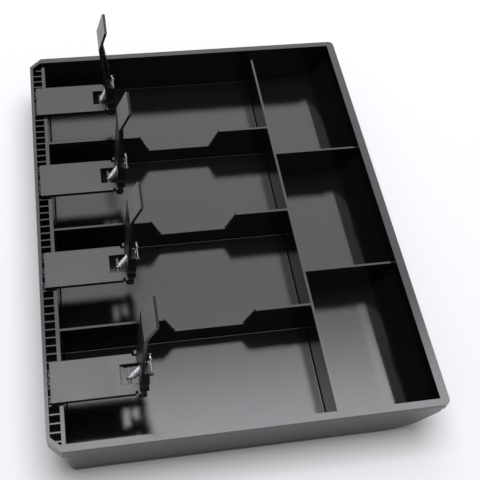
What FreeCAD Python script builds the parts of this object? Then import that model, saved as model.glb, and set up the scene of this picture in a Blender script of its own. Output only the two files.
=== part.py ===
import FreeCAD, Part
import math
import os

# Money tray of a cash drawer: one black moulding with four note bays, three scooped coin bays and a
# ribbed rack along the back, on which four sprung note clips stand with their arms raised.
# Millimetres. +X runs along the row of bays, -Y to the coin bays in front, +Z up, z = 0 under the tray.

# ---- the tray
LENGTH = 328.0            # over the rim, along X
DEPTH = 246.0             # over the rim, along Y
HEIGHT = 37.0             # to the top of the rim
SIDE_RIM = 4.6            # width of the rim's flat top at the two ends
SIDE_DRAFT = 2.9          # how far the end walls lean in at the bottom
FRONT_RIM = 5.7           # width of the rim's flat top in front of the coin bays
FRONT_LIP = 6.0           # how far the front lip hangs down
BACK_RIM = 2.2            # thickness of the wall behind the rack
BACK_CHAMFER = 8.5
CHAMFER_RADIUS = 2.0      # softens the chamfer's two corners
FRONT_RADIUS = 4.0
FLOOR_TOP = 3.5
FLOOR_RECESS = 1.5        # the hollow under the floor, inside the foot ring
FOOT_RING = 6.0
FOOT_RIB = 5.0
WALL_DRAFT = 0.5          # how much each inside wall leans over its height
BAY_FILLET = 0.8
BODY_LEAN = 2.0           # how far the back wall leans in at the bottom
BODY_CORNER = 5.0         # radius of the body's back corners and of the edge under its back wall
RIM_BAND = 3.0            # the upright band round the top of the end walls

# ---- the rack for the clips
RACK_FLOOR = 28.5         # the channel's floor
RACK_UNDER = 27.0         # the ledge's underside
CHANNEL_CHAMFER = 1.6     # the channel's corner is cut this much deeper than the rim's
RACK_TOP = 34.5           # top of the rungs and of the bar
BAR_FRONT = 112.1         # the bar between rack and note bays
BAR_BACK = 114.4
BODY_BACK = 114.8         # outside of the tray's back wall under the ledge
RUNG_PITCH = 5.84
RUNG_THICK = 0.9
RUNG_START = 1.45
RUNGS_BELOW, RUNGS_ABOVE = 27, 26

# ---- dividers
DIVIDER_TOP = 31.5
DIVIDER = 1.5
COIN_WALL_Y = -53.7       # middle of the long divider between notes and coins
NOTCH_FLOOR = 16.2
NOTCH_BACK, NOTCH_FRONT = 38.6, -9.1
NOTCH_SLOPE = 6.4         # run of each sloping end
NOTCH_FILLET = 2.0

# ---- the coin scoops: a flat floor, a quarter sweep and a leaning wall
SCOOP_LEAN = 57.8         # slope of the leaning wall, in degrees
SCOOP_IN_Y, SCOOP_IN_R = -91.7, 20.0      # where the inside sweep starts, and its radius
SCOOP_OUT_Y, SCOOP_OUT_R = -85.7, 30.0
SCOOP_OUT_WALL = -118.9   # outside of the front wall, above the lean

# ---- the note clips, in the order of the note bays from the +X end
CLIP_CENTRES = (118.0, 40.4, -36.3, -118.7)
CLIP_LEAN = (7.5, 0.0, 0.0, 0.0)   # how far each arm leans back from the others, in degrees
PLATE_HALF = 14.0
PLATE_FRONT, PLATE_BACK = 68.2, 119.5
PLATE_UNDER = RACK_TOP
WINDOW_HALF = 6.75
WINDOW_BACK = 76.4
HINGE_Y, HINGE_Z = 64.3, 35.1
HINGE_PIN_R = 1.0
HINGE_GAP = 0.05
KNUCKLE_R = 1.9
KNUCKLE_OUT = 12.2
KNUCKLE_UNDER = 33.0
KNUCKLE_ROOT = 4.0          # how far the knuckle runs in under the plate
HOOK_HALF = 10.0
HOOK_FRONT, HOOK_BACK = 109.7, 111.7
HOOK_DROP = 5.5
TOOTH_THICK = 2.6
TOOTH_SPREAD = 9.0          # the outer teeth stand about this far from the middle
TOOTH_FRONT, TOOTH_BACK = 115.0, 120.2
TOOTH_DROP = 4.5
ANCHOR_Y, ANCHOR_Z = 71.2, 33.9    # the moulded bar for the spring's lower hook
ANCHOR_R = 1.0
ANCHOR_WEB = 1.8            # thickness of the web at each end of the bar
WEB_AHEAD, WEB_BEHIND, WEB_BELOW = 2.6, 3.4, 1.6    # how far the web reaches round the bar

# ---- the arm
ARM_ROOT = (66.0, 38.0)     # lower end of the arm's back face (y, z)
ARM_BEND = (62.4, 94.0)
ARM_TIP = (55.5, 109.0)
ARM_SKIN = 1.8
PADDLE_HALF = 10.5
TIP_RADIUS = 1.5
RIB_FRONT = 59.3            # the two ribs up the front of the skin
RIB_TOP = 91.5
RIB_OUT, RIB_IN = 4.4, 3.2
BOX_TOP = 58.2              # top of the deep part of the arm
BOX_HALF = 12.0
BOX_FRONT = 59.7
BOX_WALL = 1.6
SHELF = 1.7                 # thickness of the box's top
WAIST_Z = 44.0              # under the box the cheeks step out
WAIST_HALF = 13.6
WAIST_FRONT, WAIST_BACK = 60.2, 65.4
EAR_HALF = 15.0
EAR_INNER = 12.5
EAR_TOP = 38.3
EAR_R = 2.6
SLOT_LOW, SLOT_HIGH = -4.7, 0.7    # sides of the spring's slot, along X
SLOT_TOP = 54.5
SLOT_WALL = 1.2
PIN_Y, PIN_Z = 58.4, 56.0   # the pin across the slot's front
PIN_R = 0.6
PIN_LOW, PIN_HIGH = -11.6, 1.6
LUG_FRONT = 57.4
LUG_LOW, LUG_TOP = 55.0, 57.0
CUT_REACH = 20.0            # how far the arm's cutting blocks run past the hinge

# ---- the spring
SPRING_X = -2.0             # the spring's middle, beside the clip's own
WIRE_R = 0.36
NECK_R = 0.3
SPOKE_R = 0.33              # the wire across the coil's end
COIL_R = 1.85               # to the middle of the wire
LOWER_LOOP_R = 1.65
UPPER_LOOP_R = 1.2
COIL_START = 4.2            # from the anchor to the first turn
COIL_END = 4.6              # from the last turn to the cross pin
TAIL_R = 0.33
TAIL_TOP = 60.6             # the hook's own end, standing up past the pin


def box(x0, x1, y0, y1, z0, z1):
    return Part.makeBox(x1 - x0, y1 - y0, z1 - z0, FreeCAD.Vector(x0, y0, z0))


def fuse(shapes):
    return shapes[0].multiFuse(shapes[1:]).removeSplitter()


def prism_x(points, x0, x1):
    """Outline of (y, z) points, closed, carried along X."""
    corners = [FreeCAD.Vector(x0, y, z) for y, z in points]
    face = Part.Face(Part.makePolygon(corners + corners[:1]))
    return face.extrude(FreeCAD.Vector(x1 - x0, 0, 0))


def prism_y(points, y0, y1):
    """Outline of (x, z) points, closed, carried along Y."""
    corners = [FreeCAD.Vector(x, y0, z) for x, z in points]
    face = Part.Face(Part.makePolygon(corners + corners[:1]))
    return face.extrude(FreeCAD.Vector(0, y1 - y0, 0))


def rod_x(radius, x0, x1, y, z):
    return Part.makeCylinder(radius, x1 - x0, FreeCAD.Vector(x0, y, z), FreeCAD.Vector(1, 0, 0))


def rod_up(radius, height, y, z):
    return Part.makeCylinder(radius, height, FreeCAD.Vector(0, y, z), FreeCAD.Vector(0, 0, 1))


def edges_where(shape, test):
    return [edge for edge in shape.Edges if test(edge)]


def centre(edge):
    return edge.valueAt((edge.FirstParameter + edge.LastParameter) / 2)


def half_mirror(shape):
    """A shape and its mirror image about X = 0."""
    return [shape, shape.mirror(FreeCAD.Vector(0, 0, 0), FreeCAD.Vector(1, 0, 0))]


# ---------------------------------------------------------------- the tray

def scoop_edges(start_y, low, radius, wall_y, top):
    """The scoop's line in the plane x = 0: the sweep, the leaning wall and the upright part above it."""
    lean = math.radians(SCOOP_LEAN)
    points = []
    for turn in (0, lean / 2, lean):
        along, rise = radius * math.sin(turn), radius * (1 - math.cos(turn))
        points.append(FreeCAD.Vector(0, start_y - along, low + rise))
    foot = points[2]
    knee = FreeCAD.Vector(0, wall_y, foot.z + (foot.y - wall_y) * math.tan(lean))
    upright = Part.makePolygon([foot, knee, FreeCAD.Vector(0, wall_y, top)])
    return [Part.Arc(*points).toShape()] + upright.Edges


def outer_block():
    """The tray's outside: its side view carried along X, cut to the rim's plan and to the leaning ends."""
    half = LENGTH / 2
    lip_under = HEIGHT - FRONT_LIP
    scoop = scoop_edges(SCOOP_OUT_Y, 0, SCOOP_OUT_R, SCOOP_OUT_WALL, lip_under)
    path = [FreeCAD.Vector(0, SCOOP_OUT_WALL, lip_under),
            FreeCAD.Vector(0, -DEPTH / 2, lip_under),
            FreeCAD.Vector(0, -DEPTH / 2, HEIGHT),
            FreeCAD.Vector(0, DEPTH / 2, HEIGHT),
            FreeCAD.Vector(0, DEPTH / 2, RACK_UNDER),
            FreeCAD.Vector(0, BODY_BACK, RACK_UNDER),
            FreeCAD.Vector(0, BODY_BACK - BODY_LEAN, 0),
            FreeCAD.Vector(0, SCOOP_OUT_Y, 0)]
    wire = Part.Wire(scoop + Part.makePolygon(path).Edges)
    block = Part.Face(wire).extrude(FreeCAD.Vector(LENGTH, 0, 0))
    block.translate(FreeCAD.Vector(-half, 0, 0))
    block = block.common(rim_plan())
    band = HEIGHT - RIM_BAND
    wedge = prism_y([(half, band), (half + 1, band), (half + 1, -1), (half - SIDE_DRAFT, -1),
                     (half - SIDE_DRAFT, 0)], -DEPTH, DEPTH)
    for side in half_mirror(wedge):
        block = block.cut(side)
    back_edges = edges_where(block, lambda e: centre(e).y > BODY_BACK - 4 and centre(e).z < RACK_UNDER - 1
                             and abs(centre(e).x) > half - 6)
    under = edges_where(block, lambda e: centre(e).z < 0.1 and centre(e).y > 100 and abs(centre(e).x) < 1)
    return block.makeFillet(BODY_CORNER, back_edges + under)


def rim_plan():
    """The rim's outline seen from above: chamfered back corners and rounded front corners."""
    half, back, front = LENGTH / 2, DEPTH / 2, -DEPTH / 2
    corners = [(-half, front), (half, front), (half, back - BACK_CHAMFER), (half - BACK_CHAMFER, back),
               (-half + BACK_CHAMFER, back), (-half, back - BACK_CHAMFER)]
    points = [FreeCAD.Vector(x, y, -1) for x, y in corners]
    plan = Part.Face(Part.makePolygon(points + points[:1])).extrude(FreeCAD.Vector(0, 0, HEIGHT + 2))
    for radius, side in ((FRONT_RADIUS, -1), (CHAMFER_RADIUS, 1)):
        uprights = edges_where(plan, lambda e: abs(centre(e).z - HEIGHT / 2) < 1
                               and centre(e).y * side > BODY_BACK - 10)
        plan = plan.makeFillet(radius, uprights)
    return plan


def note_pocket(x0, x1):
    """Hollow of one note bay: walls lean out a little towards the top, corners rounded."""
    front = COIN_WALL_Y + DIVIDER / 2
    top = [(x0, front), (x1, front), (x1, BAR_FRONT), (x0, BAR_FRONT)]
    low = [(x0 + WALL_DRAFT, front + WALL_DRAFT), (x1 - WALL_DRAFT, front + WALL_DRAFT),
           (x1 - WALL_DRAFT, BAR_FRONT - WALL_DRAFT), (x0 + WALL_DRAFT, BAR_FRONT - WALL_DRAFT)]
    wires = []
    for corners, z in ((low, FLOOR_TOP), (top, RACK_TOP)):
        points = [FreeCAD.Vector(x, y, z) for x, y in corners]
        wires.append(Part.makePolygon(points + points[:1]))
    pocket = Part.makeLoft(wires, True, True)
    rounded = edges_where(pocket, lambda e: centre(e).z < RACK_TOP - 1)
    return pocket.makeFillet(BAY_FILLET, rounded)


def coin_pocket(x0, x1):
    """Hollow of one coin bay: a flat floor that sweeps up to the leaning front wall."""
    back = COIN_WALL_Y - DIVIDER / 2
    front = FRONT_RIM - DEPTH / 2
    scoop = scoop_edges(SCOOP_IN_Y, FLOOR_TOP, SCOOP_IN_R, front, HEIGHT + 1)
    path = [FreeCAD.Vector(0, front, HEIGHT + 1),
            FreeCAD.Vector(0, back, HEIGHT + 1),
            FreeCAD.Vector(0, back - WALL_DRAFT, FLOOR_TOP),
            FreeCAD.Vector(0, SCOOP_IN_Y, FLOOR_TOP)]
    face = Part.Face(Part.Wire(scoop + Part.makePolygon(path).Edges))
    pocket = face.extrude(FreeCAD.Vector(x1 - x0, 0, 0))
    pocket.translate(FreeCAD.Vector(x0, 0, 0))
    back_low = edges_where(pocket, lambda e: abs(centre(e).y - back + WALL_DRAFT) < 0.1
                           and centre(e).z < FLOOR_TOP + 0.1)
    return pocket.makeFillet(BAY_FILLET, back_low)


def bay_edges(count):
    """Inside faces of a row of bays along X, as pairs (low, high)."""
    inner = LENGTH / 2 - SIDE_RIM
    pitch = 2 * inner / count
    pairs = []
    for i in range(count):
        low = -inner + i * pitch + (DIVIDER / 2 if i else 0)
        high = -inner + (i + 1) * pitch - (DIVIDER / 2 if i < count - 1 else 0)
        pairs.append((low, high))
    return pairs


def notch(x):
    """The dip in a note divider: a flat floor with sloping ends and rounded bottom corners."""
    slope = NOTCH_SLOPE / (DIVIDER_TOP - NOTCH_FLOOR)
    rise = HEIGHT - NOTCH_FLOOR
    cutter = prism_x([(NOTCH_FRONT, NOTCH_FLOOR), (NOTCH_BACK, NOTCH_FLOOR),
                      (NOTCH_BACK + slope * rise, HEIGHT), (NOTCH_FRONT - slope * rise, HEIGHT)],
                     x - 3, x + 3)
    corners = edges_where(cutter, lambda e: abs(centre(e).z - NOTCH_FLOOR) < 0.1
                          and abs(centre(e).x - x) < 1)
    return cutter.makeFillet(NOTCH_FILLET, corners)


def rack_channel():
    """Hollow of the rack along the back, with the rungs left standing across it."""
    half = LENGTH / 2 - SIDE_RIM
    back = DEPTH / 2 - BACK_RIM
    chamfer = BACK_CHAMFER - SIDE_RIM + CHANNEL_CHAMFER
    corners = [(-half, BAR_BACK), (half, BAR_BACK), (half, back - chamfer), (half - chamfer, back),
               (-half + chamfer, back), (-half, back - chamfer)]
    points = [FreeCAD.Vector(x, y, RACK_FLOOR) for x, y in corners]
    channel = Part.Face(Part.makePolygon(points + points[:1])).extrude(FreeCAD.Vector(0, 0, HEIGHT))
    rungs = []
    for i in range(-RUNGS_BELOW, RUNGS_ABOVE + 1):
        x = RUNG_START + i * RUNG_PITCH
        rungs.append(box(x - RUNG_THICK / 2, x + RUNG_THICK / 2, BAR_BACK - 1, DEPTH / 2, 0, RACK_TOP))
    return channel.cut(Part.makeCompound(rungs))


def floor_recesses():
    """Hollows under the floor, between the foot ring and the ribs."""
    end = LENGTH / 2 - SIDE_DRAFT - FOOT_RING
    back = BODY_BACK - BODY_LEAN - FOOT_RING
    middle = COIN_WALL_Y
    front = SCOOP_OUT_Y + FOOT_RIB / 2
    rib = FOOT_RIB / 2
    hollows = []
    for x0, x1 in ((-end, -rib), (rib, end)):
        hollows.append(box(x0, x1, middle + rib, back, -1, FLOOR_RECESS))
        hollows.append(box(x0, x1, front, middle - rib, -1, FLOOR_RECESS))
    return hollows


def tray_body():
    tray = outer_block()
    half = LENGTH / 2 - SIDE_RIM
    front = FRONT_RIM - DEPTH / 2
    cuts = [box(-half, half, front, BAR_FRONT, DIVIDER_TOP, HEIGHT + 1),
            box(-half, half, BAR_FRONT - 1, BAR_BACK + 1, RACK_TOP, HEIGHT + 1),
            rack_channel()]
    notes = bay_edges(4)
    for x0, x1 in notes:
        cuts.append(note_pocket(x0, x1))
    for x0, x1 in bay_edges(3):
        cuts.append(coin_pocket(x0, x1))
    for x0, x1 in notes[:-1]:
        cuts.append(notch(x1 + DIVIDER / 2))
    cuts += floor_recesses()
    for cutter in cuts:
        tray = tray.cut(cutter)
    return tray.removeSplitter()


# ---------------------------------------------------------------- one clip, built about X = 0

def teeth(offset):
    """Three teeth that drop between the rungs nearest to the middle and to both sides of the plate."""
    made = []
    for wanted in (-TOOTH_SPREAD, 0.0, TOOTH_SPREAD):
        step = round((offset + wanted - RUNG_START) / RUNG_PITCH - 0.5) + 0.5
        x = RUNG_START + step * RUNG_PITCH - offset
        made.append(box(x - TOOTH_THICK / 2, x + TOOTH_THICK / 2, TOOTH_FRONT, TOOTH_BACK,
                        PLATE_UNDER - TOOTH_DROP, PLATE_UNDER + 0.5))
    return made


def knuckle():
    """One of the base's two hinge lugs, reaching forward beside the window."""
    bar = box(WINDOW_HALF, KNUCKLE_OUT, HINGE_Y, PLATE_FRONT + KNUCKLE_ROOT, KNUCKLE_UNDER, HEIGHT)
    round_end = rod_x(KNUCKLE_R, WINDOW_HALF, KNUCKLE_OUT, HINGE_Y, HINGE_Z)
    lug = bar.fuse(round_end)
    return lug.cut(rod_x(HINGE_PIN_R + HINGE_GAP, 0, PLATE_HALF + 1, HINGE_Y, HINGE_Z))


def anchor():
    """The bar behind the window that the spring's lower hook goes round, on a web at each end."""
    web = box(WINDOW_HALF, WINDOW_HALF + ANCHOR_WEB, ANCHOR_Y - WEB_AHEAD, ANCHOR_Y + WEB_BEHIND,
              ANCHOR_Z - WEB_BELOW, PLATE_UNDER + 0.5)
    bar = rod_x(ANCHOR_R, -WINDOW_HALF - 1, WINDOW_HALF + 1, ANCHOR_Y, ANCHOR_Z)
    return [bar] + half_mirror(web)


def clip_base(offset):
    plate = box(-PLATE_HALF, PLATE_HALF, PLATE_FRONT, PLATE_BACK, PLATE_UNDER, HEIGHT)
    plate = plate.makeFillet(0.8, edges_where(plate, lambda e: abs(centre(e).z - PLATE_UNDER - 1.25) < 0.1))
    hook = box(-HOOK_HALF, HOOK_HALF, HOOK_FRONT, HOOK_BACK, PLATE_UNDER - HOOK_DROP, PLATE_UNDER + 0.5)
    solid = fuse([plate, hook] + teeth(offset) + half_mirror(knuckle()) + anchor())
    window = box(-WINDOW_HALF, WINDOW_HALF, PLATE_FRONT - 1, WINDOW_BACK, PLATE_UNDER, HEIGHT + 1)
    solid = solid.cut(window)
    top = edges_where(solid, lambda e: abs(centre(e).z - HEIGHT) < 0.01)
    return solid.makeFillet(0.4, top)


def unit(start, end):
    length = math.hypot(end[0] - start[0], end[1] - start[1])
    return ((end[0] - start[0]) / length, (end[1] - start[1]) / length)


def in_front(point, line, distance):
    """A (y, z) point moved square off a line of the side view, towards -Y."""
    return (point[0] - line[1] * distance, point[1] + line[0] * distance)


def back_at(z):
    """Y of the arm's back face at height z."""
    share = (z - ARM_ROOT[1]) / (ARM_BEND[1] - ARM_ROOT[1])
    return ARM_ROOT[0] + (ARM_BEND[0] - ARM_ROOT[0]) * share


def arm_skin():
    """The bent strip that runs from the hinge up to the paddle's tip, cut to its front view."""
    beam = unit(ARM_ROOT, ARM_BEND)
    paddle = unit(ARM_BEND, ARM_TIP)
    inner_bend = in_front(ARM_BEND, unit(ARM_ROOT, ARM_TIP), ARM_SKIN)
    outline = [ARM_ROOT, ARM_BEND, ARM_TIP, in_front(ARM_TIP, paddle, ARM_SKIN), inner_bend,
               in_front(ARM_ROOT, beam, ARM_SKIN)]
    strip = prism_x(outline, -BOX_HALF, BOX_HALF)
    right = [(PADDLE_HALF, ARM_TIP[1] + ARM_SKIN), (PADDLE_HALF, ARM_BEND[1]), (BOX_HALF, BOX_TOP),
             (BOX_HALF, HINGE_Z)]
    left = [(-x, z) for x, z in reversed(right)]
    return strip.common(prism_y(right + left, HINGE_Y - CUT_REACH, HINGE_Y + CUT_REACH))


def arm_ribs():
    """Two ribs that stiffen the strip from the box up to the bend."""
    side = [(back_at(BOX_TOP) - ARM_SKIN / 2, BOX_TOP - SHELF), (ARM_BEND[0] - ARM_SKIN / 2, RIB_TOP + 1.0),
            (RIB_FRONT, RIB_TOP), (RIB_FRONT, BOX_TOP - SHELF)]
    return half_mirror(prism_x(side, RIB_IN, RIB_OUT))


def box_part(x0, x1, low, top):
    """A part of the box between two X, from the strip's back forward to the box's front."""
    side = [(back_at(low) - 0.2, low), (back_at(top) - 0.2, top), (BOX_FRONT, top), (BOX_FRONT, low)]
    return prism_x(side, x0, x1)


def arm_box():
    """The deep part of the arm: two cheeks, a top, and a wall on each side of the spring's slot."""
    return [box_part(-BOX_HALF, -BOX_HALF + BOX_WALL, WAIST_Z - 1, BOX_TOP),
            box_part(BOX_HALF - BOX_WALL, BOX_HALF, WAIST_Z - 1, BOX_TOP),
            box_part(-BOX_HALF, BOX_HALF, BOX_TOP - SHELF, BOX_TOP),
            box_part(SLOT_LOW - SLOT_WALL, SLOT_LOW, WAIST_Z, BOX_TOP),
            box_part(SLOT_HIGH, SLOT_HIGH + SLOT_WALL, WAIST_Z, BOX_TOP)]


def pin_lugs():
    """The two lugs on the front of the box that hold the cross pin."""
    outer = box(-BOX_HALF, -BOX_HALF + BOX_WALL, LUG_FRONT, BOX_FRONT + 1, LUG_LOW, LUG_TOP)
    inner = box(SLOT_HIGH, SLOT_HIGH + SLOT_WALL, LUG_FRONT, BOX_FRONT + 1, LUG_LOW, LUG_TOP)
    return [outer, inner]


def cheek():
    """One cheek below the box: it steps out twice and ends round the hinge."""
    step = box(BOX_HALF - BOX_WALL, WAIST_HALF, WAIST_FRONT, WAIST_BACK, EAR_TOP, WAIST_Z)
    leg = box(EAR_INNER, WAIST_HALF, HINGE_Y - EAR_R, WAIST_BACK, HINGE_Z, WAIST_Z)
    ear = box(EAR_INNER, EAR_HALF, HINGE_Y - EAR_R, HINGE_Y + EAR_R, HINGE_Z, EAR_TOP)
    disc = rod_x(EAR_R, EAR_INNER, EAR_HALF, HINGE_Y, HINGE_Z)
    return fuse([step, leg, ear, disc])


def clip_arm():
    solid = fuse([arm_skin()] + arm_ribs() + arm_box() + pin_lugs() + half_mirror(cheek()))
    front, back, low = HINGE_Y - CUT_REACH, HINGE_Y + CUT_REACH, HINGE_Z - CUT_REACH
    below = box(-EAR_INNER, EAR_INNER, front, back, low, EAR_TOP)
    slot = box(SLOT_LOW, SLOT_HIGH, front, back, low, SLOT_TOP)
    mouth = box(SLOT_LOW, SLOT_HIGH, front, back_at(BOX_TOP) - ARM_SKIN, SLOT_TOP - 1, BOX_TOP + 1)
    bores = [rod_x(PIN_R, PIN_LOW, PIN_HIGH, PIN_Y, PIN_Z),
             rod_x(HINGE_PIN_R, -EAR_HALF - 1, EAR_HALF + 1, HINGE_Y, HINGE_Z)]
    for cutter in [below, slot, mouth] + bores:
        solid = solid.cut(cutter)
    tip = edges_where(solid, lambda e: abs(abs(centre(e).x) - PADDLE_HALF) < 0.1
                      and centre(e).z > ARM_TIP[1] - 1.5 and abs(e.Length - ARM_SKIN) < 0.1)
    return solid.makeFillet(TIP_RADIUS, tip)


def hinge_pins():
    """Two short pins, each held in a cheek and turning in the knuckle beside it."""
    pin = rod_x(HINGE_PIN_R, WINDOW_HALF + 0.6, EAR_HALF + 0.2, HINGE_Y, HINGE_Z)
    return Part.makeCompound(half_mirror(pin))


def cross_pin():
    return rod_x(PIN_R, PIN_LOW, PIN_HIGH, PIN_Y, PIN_Z)


def coil(length):
    """The close-wound coil along +Z, as a plain tube of the coil's inner and outer radius."""
    tube = Part.makeCylinder(COIL_R + WIRE_R, length).cut(Part.makeCylinder(COIL_R - WIRE_R, length))
    tube.rotate(FreeCAD.Vector(0, 0, 0), FreeCAD.Vector(0, 0, 1), 45)
    return tube


def loop_and_neck(loop_r, loop_z, coil_z):
    """An end loop round a bar along X at height loop_z, and the neck that joins it to the coil."""
    loop = Part.makeTorus(loop_r, WIRE_R, FreeCAD.Vector(0, 0, loop_z), FreeCAD.Vector(1, 0, 0))
    side = 1 if coil_z > loop_z else -1
    low, high = sorted((loop_z + side * loop_r, coil_z + side * WIRE_R))
    neck = rod_up(NECK_R, high - low, 0, low)
    spoke = rod_x(SPOKE_R, -COIL_R, COIL_R, 0, coil_z + side * WIRE_R)
    return [loop, neck, spoke]


def cross_pin_at(lean):
    """Where the cross pin stands, in (y, z), when the arm leans back by so many degrees."""
    y, z = PIN_Y - HINGE_Y, PIN_Z - HINGE_Z
    turn = math.radians(-lean)
    out_y = y * math.cos(turn) - z * math.sin(turn)
    out_z = y * math.sin(turn) + z * math.cos(turn)
    return (HINGE_Y + out_y, HINGE_Z + out_z)


def hook_tail(lean):
    """The end of the upper hook's wire, standing up past the cross pin."""
    start = PIN_Z + UPPER_LOOP_R - TAIL_R
    tail = rod_up(TAIL_R, TAIL_TOP - start, PIN_Y, start)
    return leaned(tail, lean)


def clip_spring(lean):
    """The extension spring between the base's anchor bar and the arm's cross pin."""
    end = cross_pin_at(lean)
    rise = (end[0] - ANCHOR_Y, end[1] - ANCHOR_Z)
    span = math.hypot(*rise)
    body = coil(span - COIL_START - COIL_END)
    body.translate(FreeCAD.Vector(0, 0, COIL_START))
    spring = fuse([body] + loop_and_neck(LOWER_LOOP_R, 0, COIL_START)
                  + loop_and_neck(UPPER_LOOP_R, span, span - COIL_END))
    slant = math.degrees(math.atan2(rise[0], rise[1]))
    spring.rotate(FreeCAD.Vector(0, 0, 0), FreeCAD.Vector(1, 0, 0), -slant)
    spring.translate(FreeCAD.Vector(0, ANCHOR_Y, ANCHOR_Z))
    return placed(fuse([spring, hook_tail(lean)]), SPRING_X)


def leaned(shape, lean):
    """A piece of the arm turned back about the hinge."""
    turned = shape.copy()
    turned.rotate(FreeCAD.Vector(0, HINGE_Y, HINGE_Z), FreeCAD.Vector(1, 0, 0), -lean)
    return turned


def placed(shape, x):
    moved = shape.copy()
    moved.translate(FreeCAD.Vector(x, 0, 0))
    return moved


def all_pieces():
    pieces = {"tray_body": tray_body()}
    arm = clip_arm()
    for number, (x, lean) in enumerate(zip(CLIP_CENTRES, CLIP_LEAN), 1):
        pieces["clip_base_%d" % number] = placed(clip_base(x), x)
        pieces["clip_arm_%d" % number] = placed(leaned(arm, lean), x)
        pieces["hinge_pins_%d" % number] = placed(leaned(hinge_pins(), lean), x)
        pieces["spring_pin_%d" % number] = placed(leaned(cross_pin(), lean), x)
        pieces["clip_spring_%d" % number] = placed(clip_spring(lean), x)
    return pieces


os.makedirs("parts", exist_ok=True)
for name, shape in all_pieces().items():
    extent = shape.BoundBox
    print("%-14s solids %d valid %s volume %.1f  x %.2f..%.2f  y %.2f..%.2f  z %.2f..%.2f" % (
        name, len(shape.Solids), shape.isValid(), shape.Volume, extent.XMin, extent.XMax,
        extent.YMin, extent.YMax, extent.ZMin, extent.ZMax))
    shape.exportStep("parts/%s.step" % name)
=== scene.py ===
import math

import bpy
import numpy as np
from mathutils import Matrix, Vector


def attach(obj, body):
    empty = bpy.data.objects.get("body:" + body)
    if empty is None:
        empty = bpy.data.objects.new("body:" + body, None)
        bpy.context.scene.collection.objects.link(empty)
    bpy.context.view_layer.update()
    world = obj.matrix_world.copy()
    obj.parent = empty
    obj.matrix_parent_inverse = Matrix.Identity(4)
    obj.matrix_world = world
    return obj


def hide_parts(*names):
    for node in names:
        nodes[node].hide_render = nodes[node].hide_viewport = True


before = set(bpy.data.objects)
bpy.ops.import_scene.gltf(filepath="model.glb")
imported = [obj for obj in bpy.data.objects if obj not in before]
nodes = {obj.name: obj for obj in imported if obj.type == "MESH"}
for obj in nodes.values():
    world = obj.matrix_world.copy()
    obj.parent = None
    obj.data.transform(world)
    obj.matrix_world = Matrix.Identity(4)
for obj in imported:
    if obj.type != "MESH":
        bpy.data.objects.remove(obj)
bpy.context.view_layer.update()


# ---------------------------------------------------------------- finishes

# Painted shade: a band along the foot of the note bays' walls where the gloss is taken down, darkening those
# corners.
PAINTED_SHADE_BAND = (("Z", "GREATER_THAN", 0.00354), ("Z", "LESS_THAN", 0.0046), ("Y", "GREATER_THAN", -0.0532))
PAINTED_SHADE_GLOSS = 0.06        # share of the gloss left in the band


def new_finish(name):
    """An empty material with its shader and output, and its node tree."""
    material = bpy.data.materials.new(name)
    material.use_nodes = True
    tree = material.node_tree
    return material, tree, tree.nodes["Principled BSDF"]


def noise(tree, scale, detail, roughness=0.5, stretch=(1, 1, 1)):
    """Noise on the piece's own Object coordinates, scaled along each axis by stretch."""
    place = tree.nodes.new("ShaderNodeTexCoord")
    mapping = tree.nodes.new("ShaderNodeMapping")
    mapping.inputs["Scale"].default_value = stretch
    tree.links.new(place.outputs["Object"], mapping.inputs["Vector"])
    texture = tree.nodes.new("ShaderNodeTexNoise")
    texture.inputs["Scale"].default_value = scale
    texture.inputs["Detail"].default_value = detail
    texture.inputs["Roughness"].default_value = roughness
    tree.links.new(mapping.outputs["Vector"], texture.inputs["Vector"])
    return texture.outputs["Fac"]


def spread(tree, value, low, high):
    """The noise value, stretched so that its middle range runs from low to high."""
    ramp = tree.nodes.new("ShaderNodeMapRange")
    ramp.inputs["From Min"].default_value = 0.3
    ramp.inputs["From Max"].default_value = 0.7
    ramp.inputs["To Min"].default_value = low
    ramp.inputs["To Max"].default_value = high
    tree.links.new(value, ramp.inputs["Value"])
    return ramp.outputs["Result"]


def tint(tree, value, dark, light):
    """A colour that runs from dark to light with the value."""
    mix = tree.nodes.new("ShaderNodeMix")
    mix.data_type = "RGBA"
    mix.inputs[6].default_value = (*dark, 1)
    mix.inputs[7].default_value = (*light, 1)
    tree.links.new(value, mix.inputs["Factor"])
    return mix.outputs[2]


def bump(tree, heights, distance):
    """Chained bumps, each a (height, strength) pair, at one distance in metres."""
    normal = None
    for height, strength in heights:
        step = tree.nodes.new("ShaderNodeBump")
        step.inputs["Distance"].default_value = distance
        step.inputs["Strength"].default_value = strength
        tree.links.new(height, step.inputs["Height"])
        if normal is not None:
            tree.links.new(normal, step.inputs["Normal"])
        normal = step.outputs["Normal"]
    return normal


def painted_corner_shade(tree, shine):
    """The gloss level, taken down in the narrow band along the foot of the note bays' walls as painted shade,
    darkening those corners where their fillets would otherwise catch a highlight: a step up and a step down
    in height times a step in Y, all on Object coordinates."""
    place = tree.nodes.new("ShaderNodeTexCoord")
    parts = tree.nodes.new("ShaderNodeSeparateXYZ")
    tree.links.new(place.outputs["Object"], parts.inputs["Vector"])
    steps = []
    for axis, test, edge in PAINTED_SHADE_BAND:
        step = tree.nodes.new("ShaderNodeMath")
        step.operation = test
        step.inputs[1].default_value = edge
        tree.links.new(parts.outputs[axis], step.inputs[0])
        steps.append(step.outputs[0])
    band = steps[0]
    for other in steps[1:]:
        both = tree.nodes.new("ShaderNodeMath")
        both.operation = "MULTIPLY"
        tree.links.new(band, both.inputs[0])
        tree.links.new(other, both.inputs[1])
        band = both.outputs[0]
    level = tree.nodes.new("ShaderNodeMapRange")
    level.inputs["To Min"].default_value = shine
    level.inputs["To Max"].default_value = PAINTED_SHADE_GLOSS * shine
    tree.links.new(band, level.inputs["Value"])
    return level.outputs["Result"]


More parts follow.
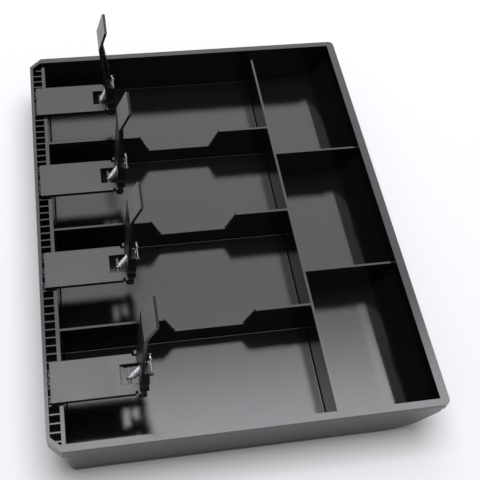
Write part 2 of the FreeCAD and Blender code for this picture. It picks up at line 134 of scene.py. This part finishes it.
def moulded_black(name, dark, light, rough_low, rough_high, specular, paint_shade=False):
    """Moulded black plastic: a polished skin with slow waves from the mould, faint cloudiness in its gloss
    and a very fine grain. Optionally painted shade: the gloss taken down along the foot of the bays' walls."""
    material, tree, shader = new_finish(name)
    cloud = noise(tree, 14, 4)
    tree.links.new(tint(tree, cloud, dark, light), shader.inputs["Base Color"])
    tree.links.new(spread(tree, noise(tree, 38, 5, 0.6), rough_low, rough_high), shader.inputs["Roughness"])
    shader.inputs["Specular IOR Level"].default_value = specular
    shader.inputs["IOR"].default_value = 1.6
    waves = noise(tree, 16, 2)
    grain = noise(tree, 2600, 3, 0.6)
    tree.links.new(bump(tree, [(waves, 0.12), (grain, 0.05)], 0.0006), shader.inputs["Normal"])
    # painted shade: the gloss taken down along the foot of the note bays' walls
    if paint_shade:
        tree.links.new(painted_corner_shade(tree, specular), shader.inputs["Specular IOR Level"])
    return material


def bright_steel(name, dark, light, rough_low, rough_high, scale):
    """Drawn and plated steel wire: bright metal with fine streaks and small dull patches."""
    material, tree, shader = new_finish(name)
    shader.inputs["Metallic"].default_value = 1.0
    tree.links.new(tint(tree, noise(tree, scale, 4), dark, light), shader.inputs["Base Color"])
    streaks = noise(tree, 900, 3, 0.6, (0.15, 1, 1))
    tree.links.new(spread(tree, streaks, rough_low, rough_high), shader.inputs["Roughness"])
    tree.links.new(bump(tree, [(streaks, 0.1)], 0.0001), shader.inputs["Normal"])
    return material


# the tray gets the painted shade along the foot of its bays' walls
tray_black = moulded_black("tray_black", (0.0042, 0.0042, 0.005), (0.0062, 0.0063, 0.0074),
                           0.07, 0.12, 0.48, paint_shade=True)
clip_black = moulded_black("clip_black", (0.006, 0.006, 0.007), (0.011, 0.011, 0.012), 0.24, 0.34, 0.55)
pin_steel = bright_steel("pin_steel", (0.3, 0.3, 0.31), (0.5, 0.5, 0.51), 0.25, 0.4, 300)
spring_steel = bright_steel("spring_steel", (0.7, 0.7, 0.71), (0.88, 0.88, 0.89), 0.16, 0.3, 500)


def clothe(starts, material):
    """Puts a finish on every CAD node whose name starts so."""
    for name, node in nodes.items():
        if name.startswith(starts):
            for place in node.material_slots:
                place.material = material


clothe("tray_body", tray_black)
clothe(("clip_base", "clip_arm"), clip_black)
clothe(("hinge_pins", "spring_pin"), pin_steel)
clothe("clip_spring", spring_steel)


# ---------------------------------------------------------------- springs

ANCHOR = (71.2, 33.9)       # the base's bar, (y, z) in millimetres
HINGE = (64.3, 35.1)
CROSS_PIN = (58.4, 56.0)    # with the arm upright
CLIPS = {1: (118.0, 7.5), 2: (40.4, 0.0), 3: (-36.3, 0.0), 4: (-118.7, 0.0)}   # middle, lean in degrees
SPRING_SIDE = -2.0          # the spring stands beside the clip's middle
WIRE = 0.36                 # radius of the wire
COIL = 1.85                 # radius of the coil, to the middle of the wire
LOWER_RING, UPPER_RING = 1.65, 1.2
COIL_FROM, COIL_TO = 4.2, 4.6             # from the anchor to the coil, and from the coil to the pin
PITCH = 2.1 * WIRE          # from one turn of the wire to the next
TURN_STEPS = 28             # points along one turn
TAIL = 3.9                  # length of the upper hook's end above the pin


def bend(start, start_way, end, end_way, steps):
    """A wire's bend between two points: the cubic that leaves start along start_way and meets end along
    end_way."""
    t = np.linspace(0, 1, steps)[:, None]
    return ((2 * t**3 - 3 * t**2 + 1) * start + (t**3 - 2 * t**2 + t) * start_way
            + (3 * t**2 - 2 * t**3) * end + (t**3 - t**2) * end_way)


def ring(middle, radius, low, high, drift):
    """A hook's ring round a bar along X: a circle in the plane square to X, from angle low to high in
    degrees, while X slides evenly by drift so that the wire passes beside itself."""
    turn = np.radians(np.arange(low, high + 1, 10.0))
    x = drift * (0.5 - (turn - turn[0]) / (turn[-1] - turn[0]))
    return np.stack([x, middle[1] + radius * np.cos(turn), middle[2] + radius * np.sin(turn)], axis=1)


def way(turn, pull):
    """The direction round a ring at an angle in degrees, of length pull."""
    angle = np.radians(turn)
    return pull * np.array([0.0, -np.sin(angle), np.cos(angle)])


def spring_line(span, tail_way):
    """The wire's middle line, with the coil along Z: the lower ring, a bend out to the coil, the helix
    (x = R cos a, y = R sin a, z rising evenly), a bend in to the upper ring and its free end. Also the
    direction kept across the wire: away from the coil's axis on the helix, X elsewhere."""
    low, high = COIL_FROM, span - COIL_TO
    turns = int((high - low) / PITCH)
    a = np.linspace(0, 2 * np.pi * turns, turns * TURN_STEPS + 1)
    helix = np.stack([COIL * np.cos(a), COIL * np.sin(a), np.linspace(low, high, a.size)], axis=1)
    lower = ring((0, 0, 0), LOWER_RING, 115, 420, -PITCH)
    upper = ring((0, 0, span), UPPER_RING, -30, 360, PITCH)
    onto = bend(lower[-1], way(60, 4.0), helix[0], np.array([0, 3.5, 0.0]), 22)
    off = bend(helix[-1], np.array([0, 3.5, 0.0]), upper[0], way(-30, 3.5), 22)
    end = np.array([upper[-1][0], TAIL * tail_way[0], span + TAIL * tail_way[1]])
    tail = bend(upper[-1], way(0, 3.0), end, 3.0 * np.array([0, *tail_way]), 14)
    line = np.concatenate([lower, onto[1:-1], helix, off[1:-1], upper, tail[1:]])
    across = np.zeros_like(line)
    across[:, 0] = 1
    first = len(lower) + len(onto) - 2
    across[first:first + a.size] = np.stack([np.cos(a), np.sin(a), 0 * a], axis=1)
    return line, across


def swept_wire(name, line, across, radius, sides):
    """A round wire along a line: each ring is line + radius (cos t across + sin t up), where up is square
    to the line and to across. The two ends are closed flat."""
    ahead = np.gradient(line, axis=0)
    ahead /= np.linalg.norm(ahead, axis=1, keepdims=True)
    across = across - ahead * np.sum(across * ahead, axis=1, keepdims=True)
    across /= np.linalg.norm(across, axis=1, keepdims=True)
    up = np.cross(ahead, across)
    t = np.linspace(0, 2 * np.pi, sides, endpoint=False)[None, :, None]
    points = line[:, None] + radius * (np.cos(t) * across[:, None] + np.sin(t) * up[:, None])
    row, column = np.meshgrid(np.arange(len(line) - 1), np.arange(sides), indexing="ij")
    beside = (column + 1) % sides
    corners = [(row, column), (row, beside), (row + 1, beside), (row + 1, column)]
    quads = np.stack([r * sides + c for r, c in corners], axis=-1).reshape(-1, 4)
    last = (len(line) - 1) * sides
    ends = [list(range(sides))[::-1], list(range(last, last + sides))]
    mesh = bpy.data.meshes.new(name)
    mesh.from_pydata(points.reshape(-1, 3).tolist(), [], quads.tolist() + ends)
    mesh.polygons.foreach_set("use_smooth", [True] * len(quads) + [False] * 2)
    piece = bpy.data.objects.new(name, mesh)
    bpy.context.scene.collection.objects.link(piece)
    return piece


def clip_spring(number, middle, lean):
    """One extension spring, turned about X so that its coil points from the anchor to the cross pin."""
    turn = math.radians(-lean)
    y, z = CROSS_PIN[0] - HINGE[0], CROSS_PIN[1] - HINGE[1]
    pin_y = HINGE[0] + y * math.cos(turn) - z * math.sin(turn)
    pin_z = HINGE[1] + y * math.sin(turn) + z * math.cos(turn)
    rise_y, rise_z = pin_y - ANCHOR[0], pin_z - ANCHOR[1]
    slant = math.atan2(rise_y, rise_z)
    out = -turn - slant     # the arm's own upward direction, seen from the coil
    line, across = spring_line(math.hypot(rise_y, rise_z), (math.sin(out), math.cos(out)))
    tilt = np.array([[1, 0, 0], [0, math.cos(slant), math.sin(slant)], [0, -math.sin(slant), math.cos(slant)]])
    line = line @ tilt.T + (middle + SPRING_SIDE, *ANCHOR)
    piece = swept_wire("wire_spring_%d" % number, line * 0.001, across @ tilt.T, WIRE * 0.001, 10)
    piece.data.materials.append(spring_steel)
    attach(piece, "spring_%d" % number)
    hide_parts("clip_spring_%d" % number)


for number, (middle, lean) in CLIPS.items():
    clip_spring(number, middle, lean)


# ---------------------------------------------------------------- studio

def studio_floor():
    """A plain pale floor under the tray."""
    half = 6.0
    mesh = bpy.data.meshes.new("studio_floor")
    corners = [(-half, -half, 0), (half, -half, 0), (half, half, 0), (-half, half, 0)]
    mesh.from_pydata(corners, [], [(0, 1, 2, 3)])
    floor = bpy.data.objects.new("studio_floor", mesh)
    bpy.context.scene.collection.objects.link(floor)
    material, tree, shader = new_finish("pale_floor")
    shader.inputs["Base Color"].default_value = (0.86, 0.86, 0.86, 1)
    shader.inputs["Roughness"].default_value = 0.9
    shader.inputs["Specular IOR Level"].default_value = 0.1
    mesh.materials.append(material)


def soft_panel(name, location, aim, width, height, watts, colour=(1, 1, 1)):
    """A large soft light at a place, turned to aim."""
    light = bpy.data.lights.new(name, "AREA")
    light.shape = "RECTANGLE"
    light.size, light.size_y = width, height
    light.energy = watts
    light.color = colour
    panel = bpy.data.objects.new(name, light)
    direction = Vector(aim) - Vector(location)
    panel.matrix_world = Matrix.Translation(location) @ direction.to_track_quat("-Z", "Y").to_matrix().to_4x4()
    bpy.context.scene.collection.objects.link(panel)


def studio_light():
    """An even pale room and soft panels overhead."""
    world = bpy.data.worlds.new("room")
    bpy.context.scene.world = world
    world.use_nodes = True
    background = world.node_tree.nodes["Background"]
    background.inputs["Color"].default_value = (0.985, 0.98, 1, 1)
    background.inputs["Strength"].default_value = 0.36
    soft_panel("overhead", (0.3, -0.2, 2.3), (0.3, -0.2, 0), 1.4, 2.3, 41, (0.96, 0.955, 1.0))
    soft_panel("far_side", (2.1, -0.25, 2.25), (1.9, -0.25, 0), 2.1, 2.9, 32, (0.965, 0.95, 1.0))


def camera():
    """The view from above the tray's -X end, tilted a little, with a slight sideways shift."""
    place = Vector((-0.3679, 0.08225, 0.52743))
    aim = Vector((-0.026, -0.0039, 0.037))
    tilt = math.radians(6.3)
    data = bpy.data.cameras.new("camera")
    data.lens = 66.04
    data.sensor_width = 36.0
    data.shift_x = 0.02896
    data.shift_y = 0.00104
    data.clip_start, data.clip_end = 0.01, 50
    made = bpy.data.objects.new("camera", data)
    turn = (aim - place).to_track_quat("-Z", "Y").to_matrix().to_4x4()
    made.matrix_world = Matrix.Translation(place) @ turn @ Matrix.Rotation(tilt, 4, "Z")
    bpy.context.scene.collection.objects.link(made)
    bpy.context.scene.camera = made


studio_floor()
studio_light()
camera()
bpy.context.scene.view_settings.view_transform = "Standard"
